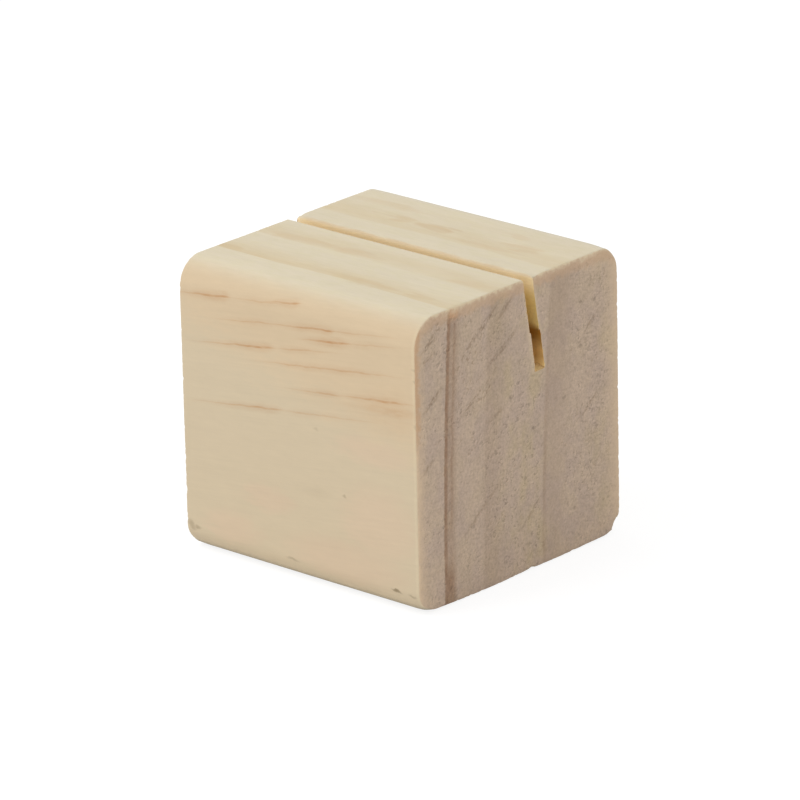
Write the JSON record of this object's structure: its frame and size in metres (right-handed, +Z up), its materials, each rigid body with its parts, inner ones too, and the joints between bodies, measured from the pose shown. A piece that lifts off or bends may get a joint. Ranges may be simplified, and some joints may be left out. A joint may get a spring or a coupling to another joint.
{
  "type": "photo block holder",
  "caption": "Small solid block of pale softwood with rounded long edges and a narrow leaning slot right across its top, which stands a photo or card upright.",
  "frame": {"origin": "middle of the underside, on the surface that the block stands on", "axes": "+X along the grain and the slot, +Y from the front face to the back face, which the foot of the slot leans towards, +Z up"},
  "size_m": [0.051, 0.05, 0.05],
  "materials": {
    "pine": "planed and sanded, unfinished"
  },
  "bodies": {
    "root": {"pine_block": "pine"}
  },
  "joints": []
}
